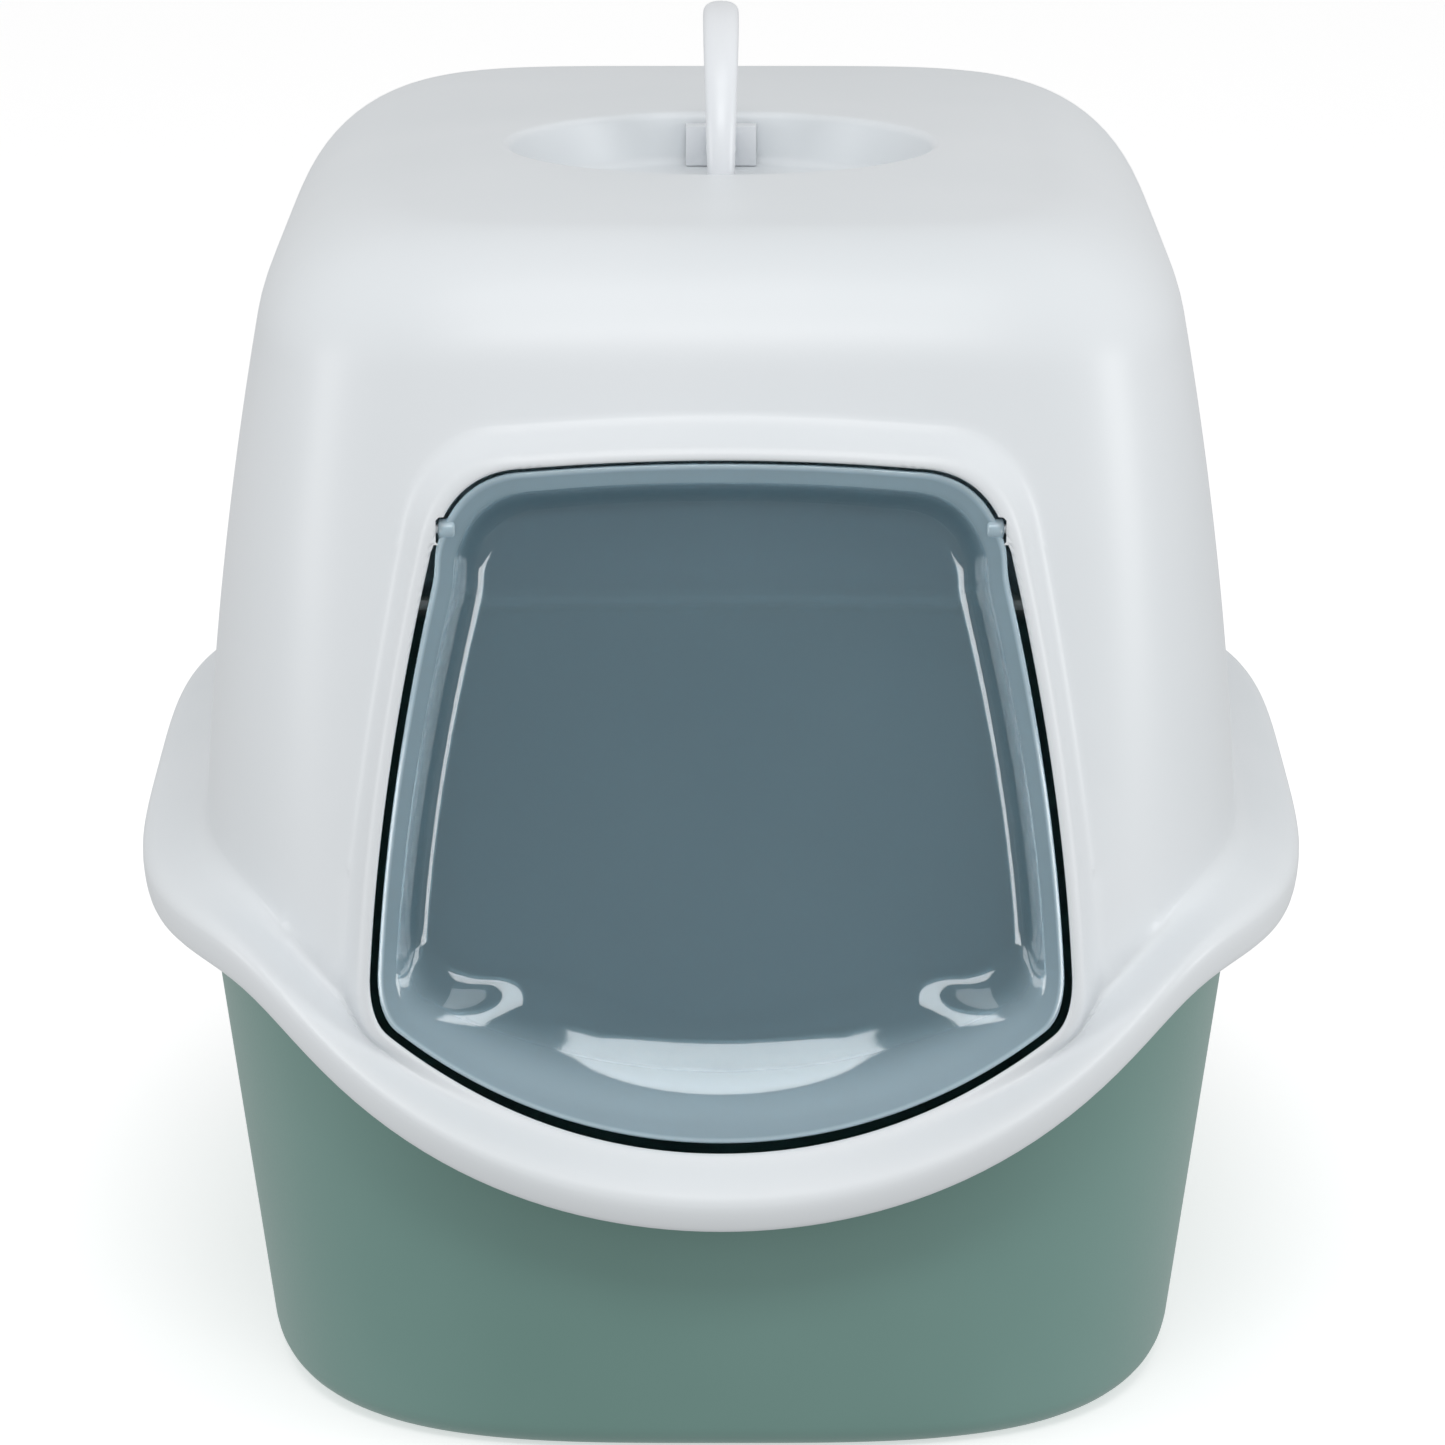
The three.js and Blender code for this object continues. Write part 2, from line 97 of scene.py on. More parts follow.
def strip(verts, faces, rings, closed=True, start=None, end=None, skip=None):
    """Adds rings of equally many points to verts and faces.

    skip(r, i) leaves out the quad after ring r, point i.
    """
    n = len(rings[0])
    base = len(verts)
    for r in rings:
        verts.extend(map(tuple, r))
    for r in range(len(rings) - 1):
        for i in range(n if closed else n - 1):
            if skip and skip(r, i):
                continue
            j = (i + 1) % n
            a, b = base + r * n, base + (r + 1) * n
            faces.append((a + i, a + j, b + j, b + i))
    for point, r in ((start, 0), (end, len(rings) - 1)):
        if point is not None:
            verts.append(tuple(point))
            k = len(verts) - 1
            faces.extend((base + r * n + i, base + r * n + (i + 1) % n, k) for i in range(n))
    return base


# ---- plan sections -------------------------------------------------------------------------------
def plan(angle, section, inset=0.0):
    half, front, back, square, *taper = section
    c, s = np.cos(angle), np.sin(angle)
    depth = (back - front) / 2 - inset
    y = (back + front) / 2 + depth * np.sign(s) * np.abs(s) ** (2 / square)
    x = (half - inset) * np.sign(c) * np.abs(c) ** (2 / square)
    return x * (1 + taper[0] * y) if taper else x, y


def even_angles(count):
    """Angles that step evenly along the flange outline."""
    a = np.linspace(0, 2 * math.pi, 40001)
    x, y = plan(a, FLANGE[:4])
    run = np.concatenate([[0], np.cumsum(np.hypot(np.diff(x), np.diff(y)))])
    quarter = np.interp(np.arange(count // 4) / count * run[-1], run, a)
    return np.concatenate([quarter + k * math.pi / 2 if k % 2 == 0 else
                           (k + 1) * math.pi / 2 - np.concatenate([[math.pi / 2], quarter[:0:-1]])
                           for k in range(4)])


ANGLES = even_angles(AROUND)


def rim(x, y):
    arc = SCOOP_RADIUS - np.sqrt(np.maximum(0, SCOOP_RADIUS ** 2 - x * x))
    dip = RIM_RISE - arc * (1 + (arc / RIM_RISE) ** SCOOP_BLEND) ** (-1 / SCOOP_BLEND)
    share = np.clip(-y / 60, 0, 1)
    return RIM_FRONT + RIM_RISE - dip * share * share * (3 - 2 * share)


def tray_wall(z):
    return 155.8 + 0.135 * z, -240 - 0.145 * z, 238 + 0.14 * z, 3.5


def hood_wall(z):
    up = z - HOOD_FOOT
    return (178 - CURVE_SIDE * up * up, -265 + LEAN_FRONT * up + CURVE_FRONT * up * up,
            262 - LEAN_BACK * up - CURVE_BACK * up * up, 3.6 + SQUARING * up)


def ring(section, height, inset=0.0, angles=None):
    """height is a number, or a function of x and y."""
    a = ANGLES if angles is None else angles
    z = np.full(len(a), 150.0) if callable(height) else np.full(len(a), float(height))
    for _ in range(16 if callable(height) and callable(section) else 1):
        x, y = plan(a, section(z) if callable(section) else section, inset)
        if callable(height):
            z = height(x, y)
    return np.stack([x, y, z], 1)


def above_rim(offset, in_dip=None):
    """Height above the band's lower edge; in_dip is the height in the middle of the dip."""
    change = 0 if in_dip is None else in_dip - offset
    return lambda x, y: rim(x, y) + offset + change * (1 - (rim(x, y) - RIM_FRONT) / RIM_RISE)


def circle(radius, z):
    x, y = plan(ANGLES, FLANGE)
    turn = np.arctan2(y, x)
    level = np.full(len(turn), float(z))
    return np.stack([radius * np.cos(turn), RECESS_Y + radius * np.sin(turn), level], 1)


def bezier(p0, p1, p2, steps, first=True):
    ts = np.linspace(0, 1, steps + 1)[0 if first else 1:]
    return [(1 - t) ** 2 * p0 + 2 * t * (1 - t) * p1 + t * t * p2 for t in ts]


def towards(a, b, distance, most):
    """From a towards b by a distance, at most a share of the way."""
    d = b - a
    length = np.linalg.norm(d, axis=1, keepdims=True)
    return a + d * np.minimum(most, distance / length)


# ---- hood ----------------------------------------------------------------------------------------
def lean_at(angles):
    """How far the wall moves in per millimetre of height, at the top of the wall."""
    up = WALL_TOP - HOOD_FOOT
    side = 2 * CURVE_SIDE * up
    front, back = LEAN_FRONT + 2 * CURVE_FRONT * up, LEAN_BACK + 2 * CURVE_BACK * up
    share = np.sin(angles) ** 2
    return side * (1 - share) + np.where(np.sin(angles) < 0, front, back) * share


def rounded_top(inset, steps):
    """The rounded edge from the top down to the wall, first ring on the top."""
    lean = np.arctan(lean_at(ANGLES))
    outer = (TOP_EDGE - WALL_TOP) / (1 - np.sin(lean))
    radius = outer - inset
    rings = []
    for share in np.linspace(1, 0, steps + 1):
        turn = lean + (math.pi / 2 - lean) * share
        inwards = outer * np.cos(lean) - radius * np.cos(turn)
        x, y = plan(ANGLES, hood_wall(WALL_TOP), inwards)
        z = TOP_EDGE - outer + radius * np.sin(turn)
        rings.append(np.stack([x, y, z], 1))
    return rings


def hood_rings(inset, fine):
    """The rings of one face of the hood down to the wall's foot, and which ring the wall starts at."""
    k = 2 if fine else 1
    floor, top = RECESS_FLOOR - inset, HOOD_TOP - inset
    rings = [circle(r, floor) for r in (14, 34, 52)]
    f = 4.0 + inset
    for turn in np.linspace(-math.pi / 2, -0.06, 4 * k + 1):
        rings.append(circle(RECESS_FLOOR_R + inset - f + f * math.cos(turn),
                            floor + f + f * math.sin(turn)))
    r = 3.4 - inset * 0.9
    rim_r = RECESS_R + inset + 0.2
    for turn in np.linspace(0.12, math.pi / 2, 4 * k + 1):
        rings.append(circle(rim_r + r - r * math.cos(turn), top - r + r * math.sin(turn)))
    edge = rounded_top(inset, 9 * k)
    inner = rings[-1]
    for t in np.linspace(0, 1, 7 * k + 1)[1:-1]:
        mix = inner * (1 - t) + edge[0] * t
        mix[:, 2] = inner[:, 2] + (edge[0][:, 2] - inner[:, 2]) * t ** 1.6
        rings.append(mix)
    rings += edge
    first_wall = len(rings) - 1
    foot = above_rim(WALL_FOOT)
    for share in np.linspace(1, 0, 22 * k + 1)[1:]:
        rings.append(ring(hood_wall, lambda x, y: foot(x, y) + (WALL_TOP - foot(x, y)) * share, inset))
    return rings, first_wall


def outer_hood():
    rings, first_wall = hood_rings(0.0, True)
    knee = ring(hood_wall, above_rim(22.5, 24.3), -0.8)
    shoulder = ring(FLANGE, above_rim(15.0, 11.8), 0.6)
    foot_end = towards(knee, shoulder, 6.0, 0.4)
    flat_end = towards(shoulder, knee, 6.0, 0.5)
    face_top = ring(FLANGE, above_rim(11.0, 8.2), 0.1)
    rings += bezier(rings[-1], knee, foot_end, 9, first=False)
    last_free = len(rings) + 1
    rings += [foot_end + (flat_end - foot_end) * t for t in (0.25, 0.5, 0.75)]
    rings += bezier(flat_end, shoulder, face_top, 9)
    rings += [ring(FLANGE, above_rim(h, d), i)
              for h, d, i in ((8.5, 6.6, 0.1), (6.0, 4.9, 0.35), (3.6, 3.2, 0.75))]
    rings += [ring(FLANGE, above_rim(h), i)
              for h, i in ((1.8, 1.25), (0.9, 1.7), (0.3, 2.3), (0.0, 3.1))]
    return rings, first_wall, last_free


def inner_hood():
    rings, first_wall = hood_rings(WALL, False)
    knee = ring(hood_wall, above_rim(20.2, 22.0), 0.6)
    shoulder = ring(FLANGE, above_rim(12.6, 9.4), 3.6)
    foot_end = towards(knee, shoulder, 6, 0.42)
    flat_end = towards(shoulder, knee, 3, 0.42)
    rings += bezier(rings[-1], knee, foot_end, 5, first=False)
    last_free = len(rings)
    rings += [foot_end + (flat_end - foot_end) * 0.5]
    rings += bezier(flat_end, shoulder, ring(FLANGE, above_rim(9, 6.6), 3.3), 5)
    rings += [ring(FLANGE, above_rim(h), i)
              for h, i in ((5, 3.6), (1.8, 4.2), (0.6, 4.4), (0.1, 4.1), (0.0, 3.6))]
    return rings, first_wall, last_free


def entrance_half(inset, divisions):
    """Half the entrance outline from the sill round to the top, moved inwards.

    x runs across and y up from the sill.
    """
    def quad(p0, p1, p2, n):
        t = np.linspace(0, 1, n + 1)[:-1, None]
        return (1 - t) ** 2 * np.array(p0) + 2 * t * (1 - t) * np.array(p1) + t * t * np.array(p2)

    foot, radius = ENTRANCE_HALF - inset, SILL_RADIUS - inset
    end = math.asin((foot - 6) / radius)
    end_y = SILL_RADIUS - radius * math.cos(end)
    t = np.linspace(0, end, divisions[0] + 1)[:-1]
    parts = [np.stack([radius * np.sin(t), SILL_RADIUS - radius * np.cos(t)], 1)]
    corners = [((foot - 6, end_y), (foot, end_y + 6 * math.tan(end)), (foot, end_y + 18)),
               ((foot, end_y + 18), (109.3 - inset, 117), (92.5 - inset, 190 - inset / 2)),
               ((92.5 - inset, 190 - inset / 2), (87 - inset, 219 - inset),
                (62 - inset * 0.6, 219.7 - inset)),
               ((62 - inset * 0.6, 219.7 - inset), (31, 222.5 - inset), (0, 222.5 - inset))]
    parts += [quad(*c, n) for c, n in zip(corners, divisions[1:])]
    return np.concatenate(parts)


def entrance(inset, divisions=(34, 9, 40, 20, 20)):
    half = entrance_half(inset, divisions)
    top = np.array([[0.0, 222.5 - inset]])
    mirrored = half[1:][::-1] * np.array([-1.0, 1.0])
    return np.concatenate([half, top, mirrored])


def door_point(p, depth):
    """From the door surface (x across, y up from the sill, depth behind it) to the box."""
    s, c = math.sin(DOOR_LEAN), math.cos(DOOR_LEAN)
    x, y = p[:, 0], p[:, 1]
    back = DOOR_Y + y * s + depth * c + x * x / (2 * DOOR_BOW)
    return np.stack([x, back, DOOR_Z + y * c - depth * s], 1)


def door_y(x, z):
    return DOOR_Y + (z - DOOR_Z) * math.tan(DOOR_LEAN) + x * x / (2 * DOOR_BOW)


def frame_profile(q):
    """Depth of the raised frame's face behind the door surface, q millimetres outside the entrance."""
    flat, radius, slope = 1.2, 3.6, 2.6
    turn = radius * slope / math.hypot(1, slope)
    drop = radius - math.sqrt(radius ** 2 - turn ** 2)
    curved = radius - np.sqrt(np.maximum(0, radius ** 2 - np.clip(q - flat, 0, turn) ** 2))
    return np.where(q < flat + turn, curved, drop + slope * (q - flat - turn))


def inside_polygon(points, polygon):
    x, y = points[:, 0][:, None], points[:, 1][:, None]
    a, b = polygon, np.roll(polygon, -1, 0)
    crosses = (a[:, 1] > y) != (b[:, 1] > y)
    with np.errstate(divide="ignore", invalid="ignore"):
        at = a[:, 0] + (y - a[:, 1]) / (b[:, 1] - a[:, 1]) * (b[:, 0] - a[:, 0])
    return (crosses & (x < at)).sum(1) % 2 == 1


def distance_to(points, polygon):
    a, b = polygon, np.roll(polygon, -1, 0)
    best = np.full(len(points), 1e9)
    for p, q in zip(a, b):
        d = q - p
        t = np.clip(((points - p) @ d) / (d @ d), 0, 1)
        best = np.minimum(best, np.linalg.norm(points - p - t[:, None] * d, axis=1))
    return best


OBLIQUE = 0.6  # the window is laid out flat as x against z + OBLIQUE * y


class Window:
    """The front part of one face of the hood, cut loose so that the entrance can be let into it."""

    def __init__(self, rings, first, last, reach):
        mid = 3 * AROUND // 4
        self.cols = np.arange(mid - reach, mid + reach + 1)
        self.first, self.last = first, last
        self.patch = np.stack([r[self.cols] for r in rings[first:last + 1]])

    def skips(self, r, i):
        return self.first <= r < self.last and self.cols[0] <= i < self.cols[-1]

    def y_at(self, x, z):
        """Depth of the face at x and z."""
        zs = np.stack([np.interp(x, r[:, 0], r[:, 2]) for r in self.patch])
        ys = np.stack([np.interp(x, r[:, 0], r[:, 1]) for r in self.patch])
        return np.array([np.interp(zk, zs[::-1, k], ys[::-1, k]) for k, zk in enumerate(z)])

    def border(self):
        p = self.patch
        return np.concatenate([p[0, :-1], p[:-1, -1], p[-1, :0:-1], p[:0:-1, 0]])

    def mesh(self, hole, hole_y, loose, loose_y, wanted, verts, faces):
        """Fills the window between its border and the hole. wanted picks the grid points to keep."""
        def flat(x, z, y):
            return np.stack([x, z + OBLIQUE * y], 1)

        border = self.border()
        base_hole_y = self.y_at(hole[:, 0], hole[:, 1])
        flat_border = flat(border[:, 0], border[:, 2], border[:, 1])
        flat_hole = flat(hole[:, 0], hole[:, 1], base_hole_y)
        inner = self.patch[1:-1, 1:-1].reshape(-1, 3)
        keep = ~inside_polygon(inner[:, [0, 2]], hole) & wanted(inner, distance_to(inner[:, [0, 2]], hole))
        across = self.patch.shape[1] - 2
        number = np.cumsum(keep) - 1
        inner = inner[keep]
        base_loose_y = self.y_at(loose[:, 0], loose[:, 1])
        flat_loose = flat(loose[:, 0], loose[:, 1], base_loose_y)
        ok = inside_polygon(flat_loose, flat_border) & (distance_to(flat_loose, flat_border) > 1.2)
        ok &= ~inside_polygon(loose, hole)
        loose, loose_y, flat_loose = loose[ok], loose_y[ok], flat_loose[ok]
        points3 = np.concatenate([border, np.stack([hole[:, 0], hole_y, hole[:, 1]], 1), inner,
                                  np.stack([loose[:, 0], loose_y, loose[:, 1]], 1)])
        flat_inner = flat(inner[:, 0], inner[:, 2], inner[:, 1])
        points2 = np.concatenate([flat_border, flat_hole, flat_inner, flat_loose])
        nb, nh = len(border), len(hole)
        edges = [(i, (i + 1) % nb) for i in range(nb)]
        edges += [(nb + i, nb + (i + 1) % nh) for i in range(nh)]
        # neighbours along a ring stay joined, so that the folds of the face come out clean
        edges += [(int(nb + nh + number[k]), int(nb + nh + number[k + 1]))
                  for k in range(len(keep) - 1) if keep[k] and keep[k + 1] and (k + 1) % across]
        got, _, tris, orig, _, _ = delaunay_2d_cdt([Vector(p) for p in points2], edges, [], 1, 1e-4)
        index = [o[0] if o else -1 for o in orig]
        if min(index) < 0:
            raise ValueError("the window's outlines cross")
        centres = np.array([np.mean([points2[index[k]] for k in t], 0) for t in tris])
        inside = inside_polygon(centres, flat_hole)
        base = len(verts)
        verts.extend(map(tuple, points3))
        faces.extend(tuple(base + index[k] for k in t) for t, cut in zip(tris, inside) if not cut)


def with_notches(outline, behind):
    """The entrance outline in x and z with a notch each side for the flap's eyes, front and back."""
    room, out = EYE_R + 0.9, EYE_OUT + 0.7
    low, high = HINGE_Z - room, HINGE_Z + room
    kept = [k for k, (x, z) in enumerate(outline) if not low - 0.6 < z < high + 0.6]
    front, back = [], []
    for k, after in zip(kept, kept[1:] + kept[:1]):
        front.append(tuple(outline[k]))
        back.append(tuple(behind[k]))
        (x0, z0), (x1, z1) = outline[k], outline[after]
        if abs(z1 - z0) > 2 * room - 0.1 and x0 * x1 > 0:
            side = math.copysign(1, x0)

            def edge(z, line):
                (xa, za), (xb, zb) = line[k], line[after]
                return xa + (xb - xa) * (z - za) / (zb - za)

            corners = [(low, 0, 0), (low, 1, -1), (low + 1, 1, 0),
                       (high - 1, 1, 0), (high, 1, -1), (high, 0, 0)]
            for z, deep, less in corners if z0 < z1 else corners[::-1]:
                front.append((side * (out + less), z) if deep else (edge(z, outline), z))
                x = abs(edge(z, behind))
                back.append((side * (max(out + 1.4, x + 0.7) + less * 0.4 if deep else x), z))
    return np.array(front), np.array(back)


def smooth_least(a, b, k=5.0):
    h = np.clip(0.5 + 0.5 * (b - a) / k, 0, 1)
    return b + (a - b) * h - k * h * (1 - h)


def build_hood():
    verts, faces = [], []
    outer, o_first, o_last = outer_hood()
    inner, i_first, i_last = inner_hood()
    front = Window(outer, o_first, o_last, WINDOW_REACH)
    rear = Window(inner, i_first, i_last, WINDOW_REACH)
    strip(verts, faces, outer, start=(0, RECESS_Y, RECESS_FLOOR), skip=front.skips)
    strip(verts, faces, inner, start=(0, RECESS_Y, RECESS_FLOOR - WALL), skip=rear.skips)
    strip(verts, faces, [outer[-1], inner[-1]])

    def edge_round(q, r=1.1):
        return r - np.sqrt(np.maximum(0, r * r - np.clip(r - q, 0, r) ** 2))

    def outer_y(p, q):
        base = front.y_at(p[:, 0], p[:, 1])
        raised = smooth_least(base, door_y(p[:, 0], p[:, 1]) + frame_profile(q))
        return raised + edge_round(q)

    def bare(x, z, y, q):
        """Where the face of the hood stands so far in front of the frame that the frame does not show."""
        return (q > 2.4) & (z < 200) & (door_y(x, z) + frame_profile(q) - y > 5)

    def on_door(inset):
        return door_point(entrance(inset), 0.0)[:, [0, 2]]

    outline = on_door(0.0)
    hole, back = with_notches(outline, on_door(-REVEAL_DRAFT))
    q_hole = np.where(distance_to(hole, outline) < 0.05, 0.0, distance_to(hole, outline))
    hole_y = outer_y(hole, q_hole)
    loose, loose_y = [], []
    for q in (0.15, 0.35, 0.65, 1.1, 1.6, 2.1, 2.6, 3.1, 3.6, 4.1, 4.5, 4.9, 5.3, 5.7, 6.1, 6.6,
              7.2, 7.9, 8.8, 10.0, 11.6, 13.6, 16.0):
        p = on_door(-q)
        clear = distance_to(p, hole) > min(0.6, 0.8 * q)
        clear &= ~bare(p[:, 0], p[:, 1], front.y_at(p[:, 0], p[:, 1]), np.full(len(p), q))
        loose.append(p[clear])
        loose_y.append(outer_y(p[clear], np.full(clear.sum(), q)))
    front.mesh(hole, hole_y, np.concatenate(loose), np.concatenate(loose_y),
               lambda p, q: (q > 18) | bare(p[:, 0], p[:, 2], p[:, 1], q), verts, faces)

    # the reveal runs square to the door surface and widens backwards, so that the flap can swing inwards
    flush = back[:, 1].copy()
    for _ in range(3):
        back_y = rear.y_at(back[:, 0], back[:, 1])
        back[:, 1] = flush - np.maximum(0, back_y - hole_y) * math.tan(DOOR_LEAN)
    ring_out = np.stack([hole[:, 0], hole_y, hole[:, 1]], 1)
    ring_in = np.stack([back[:, 0], back_y, back[:, 1]], 1)
    strip(verts, faces, [ring_out, ring_in])
    # two loose rings round the inner hole keep its triangles even
    loose = np.concatenate([on_door(-q) for q in (5.0, 8.5)])
    clear = distance_to(loose, back) > 2.0
    loose = loose[clear]
    rear.mesh(back, back_y, loose, rear.y_at(loose[:, 0], loose[:, 1]),
              lambda p, q: q > 10.5, verts, faces)
    return make_object("hood", verts, faces, 38)


# ---- tray ----------------------------------------------------------------------------------------
def build_tray():
    rings = [ring(tray_wall, 0.0, i) for i in (90, 60, 35, 20)]
    for turn in np.linspace(-math.pi / 2, 0, 9):
        rings.append(ring(tray_wall, 9 + 9 * math.sin(turn), 11 - 11 * math.cos(turn)))
    under = above_rim(LIP_TOP - WALL)
    for share in np.linspace(0, 1, 27)[1:]:
        rings.append(ring(tray_wall, lambda x, y: 9 + (under(x, y) - 9) * share))
    out = LIP_INSET + WALL
    rings += [ring(FLANGE, under, out + 1), ring(FLANGE, above_rim(LIP_TOP - WALL - 1), out)]
    rings += [ring(FLANGE, above_rim(LIP_TOP - LIP_SKIRT), i) for i in (out, LIP_INSET + 0.4)]
    rings += [ring(FLANGE, above_rim(LIP_TOP - LIP_SKIRT + 0.5), LIP_INSET)]
    rings += [ring(FLANGE, above_rim(LIP_TOP - d), LIP_INSET + i)
              for d, i in ((2, 0), (0.6, 0.5), (0, 2))]
    rings += [ring(tray_wall, above_rim(LIP_TOP - d), WALL + i)
              for d, i in ((0, -1.5), (0.5, -0.3), (1.8, 0))]
    top = above_rim(LIP_TOP - 2)
    for share in np.linspace(1, 0, 23)[1:]:
        rings.append(ring(tray_wall, lambda x, y: 14 + (top(x, y) - 14) * share, WALL))
    for turn in np.linspace(0, -math.pi / 2, 7)[1:]:
        rings.append(ring(tray_wall, TRAY_FLOOR + 11 + 11 * math.sin(turn),
                          WALL + 11 - 11 * math.cos(turn)))
    rings += [ring(tray_wall, TRAY_FLOOR, i) for i in (20, 40, 70, 100)]
    verts, faces = [], []
    strip(verts, faces, rings, start=(0, 0, 0), end=(0, 0, TRAY_FLOOR))
    return make_object("tray", verts, faces, 38)


# ---- flap ----------------------------------------------------------------------------------------
FLAP_STEPS = (40, 8, 40, 22, 20)


def smoothstep(t):
    t = np.clip(t, 0, 1)
    return t * t * (3 - 2 * t)


def flap_outline(inset):
    """The flap's outline moved inwards. The gap round it is narrow above the hinge and wider below."""
    below = smoothstep((HINGE_Z - DOOR_Z - 4 - entrance(1.5, FLAP_STEPS)[:, 1]) / 12)
    tight, loose = entrance(1.1 + inset, FLAP_STEPS), entrance(2.5 + inset, FLAP_STEPS)
    return tight + (loose - tight) * below[:, None]


def flap_depth(inset):
    """Depth of the dish at a distance from the flap's edge.

    The step is steep at the sides and wide at the foot.
    """
    up = flap_outline(0.0)[:, 1]
    foot, aside = smoothstep((60 - up) / 34), np.clip(up / 10, 0, 1.2)
    start, width = 6.0 + (1.5 - 3.0 * aside) * foot, 10.5 + (20.4 + 6.0 * aside) * foot
    share = np.clip((inset - start) / width, 0, 1)
    return FLAP_SET + FLAP_DISH * smoothstep(share ** (0.6 + 0.4 * foot))


def build_flap():
    insets = np.concatenate([[0.0, 0.12, 0.4, 1.0], np.linspace(2, 48, 48)])
    front, back = [], []
    edge = 0.7
    for i in insets:
        p = flap_outline(i)
        tuck = edge - math.sqrt(max(0, edge ** 2 - max(0, edge - i) ** 2))
        depth = flap_depth(i)
        front.append(door_point(p, depth + tuck))
        back.append(door_point(p, depth + FLAP_THICK - tuck))
    p = flap_outline(insets[-1])
    middle = np.array([0.0, 112.0])
    for share in np.linspace(1, 0, 14)[1:-1]:
        shrunk = middle + (p - middle) * share
        front.append(door_point(shrunk, FLAP_SET + FLAP_DISH))
        back.append(door_point(shrunk, FLAP_SET + FLAP_DISH + FLAP_THICK))
    verts, faces = [], []
    ends = [door_point(middle[None], FLAP_SET + FLAP_DISH + t)[0] for t in (0, FLAP_THICK)]
    strip(verts, faces, front[::-1] + back, start=ends[0], end=ends[1])
    return make_object("flap", verts, faces, 50)


def flap_painted_highlight(places):
    """Painted highlight on the flap: most at its edge line, a little on the step down to the dish."""
    up = (places[:, 2] - DOOR_Z) / math.cos(DOOR_LEAN)
    flat = np.stack([places[:, 0], up], 1)
    inset = distance_to(flat, flap_outline(0.0))
    foot = smoothstep((75 - up) / 65)
    edge = 1.0 - smoothstep((inset - 1.0) / 0.8) * (0.62 - 0.26 * foot)
    return edge * (1 - smoothstep((inset - 5 - 2 * foot) / (5.5 + 26 * foot)))


def turned(name, profile, axis, place, sides=32, sharp=40):
    """A turned piece along "x" or "y"; profile lists (along, radius) and has radius 0 at each end."""
    t = np.linspace(0, 2 * math.pi, sides, endpoint=False)
    rings = []
    for along, r in profile[1:-1]:
        a, b, c = np.full(sides, along), r * np.cos(t), r * np.sin(t)
        rings.append(np.stack({"x": (a, b, c), "y": (b, a, c)}[axis], 1) + np.array(place))
    unit = {"x": np.array([1, 0, 0]), "y": np.array([0, 1, 0])}[axis]
    verts, faces = [], []
    strip(verts, faces, rings, start=np.array(place) + unit * profile[0][0],
          end=np.array(place) + unit * profile[-1][0])
    return make_object(name, verts, faces, sharp)


def pill(length, radius, chamfer):
    """Profile of a short round bar with rounded ends, centred on its place."""
    h = length / 2
    arc = [(chamfer * (1 - math.cos(t)), chamfer * (1 - math.sin(t)))
           for t in np.linspace(0, math.pi / 2, 5)]
    pts = [(-h, 0.0)] + [(-h + a, radius - b) for a, b in arc]
    return pts + [(-p, r) for p, r in pts[::-1]]


# ---- handle --------------------------------------------------------------------------------------
def bail_point(t):
    power = 2 / 2.3
    c, s = math.cos(math.pi * t), max(0.0, math.sin(math.pi * t))
    return np.array([0, RECESS_Y + HANDLE_HALF * math.copysign(abs(c) ** power, c),
                     PIVOT_Z + HANDLE_RISE * s ** power])


def build_handle():
    verts, faces, rings = [], [], []
    sides = 28
    turn = np.linspace(0, 2 * math.pi, sides, endpoint=False)
    for t in (1 - np.cos(np.linspace(0, math.pi, 90))) / 2:
        a, b = bail_point(min(1, t + 0.004)), bail_point(max(0, t - 0.004))
        along = (a - b) / np.linalg.norm(a - b)
        out = np.array([0, along[2], -along[1]])
        half = (9 + 3.5 * math.sin(math.pi * t)) / 2
        x = half * np.sign(np.cos(turn)) * np.abs(np.cos(turn)) ** 0.8
        n = 4.5 * np.sign(np.sin(turn)) * np.abs(np.sin(turn)) ** 0.8
        rings.append(bail_point(t) + x[:, None] * np.array([1, 0, 0]) + n[:, None] * out)
    strip(verts, faces, rings, start=bail_point(0), end=bail_point(1))
    handle = make_object("handle_bail", verts, faces)
    parts = [handle]
    for side in (-1, 1):
        place = (0, RECESS_Y + side * HANDLE_HALF, PIVOT_Z)
        parts.append(turned(f"handle_eye_{side}", pill(8, 5.4, 1.0), "y", place))
    return fuse("handle", parts, 0.75, 6)


def fuse(name, parts, voxel, smooth):
    """Joins solids into one skin with soft fillets where they meet."""
    bm = bmesh.new()
    for p in parts:
        bm.from_mesh(p.data)
        bpy.data.objects.remove(p)
    mesh = bpy.data.meshes.new(name)
    bm.to_mesh(mesh)
    bm.free()
    obj = bpy.data.objects.new(name, mesh)
    bpy.context.scene.collection.objects.link(obj)
    remesh = obj.modifiers.new("remesh", "REMESH")
    remesh.mode, remesh.voxel_size = "VOXEL", voxel * MM
    soften = obj.modifiers.new("smooth", "SMOOTH")
    soften.factor, soften.iterations = 0.5, smooth
    return bake(obj)


def bake(obj):
    """Applies an object's modifiers to its mesh."""
    got = obj.evaluated_get(bpy.context.evaluated_depsgraph_get())
    mesh = bpy.data.meshes.new_from_object(got)
    obj.modifiers.clear()
    obj.data = mesh
    mesh.shade_smooth()
    return obj


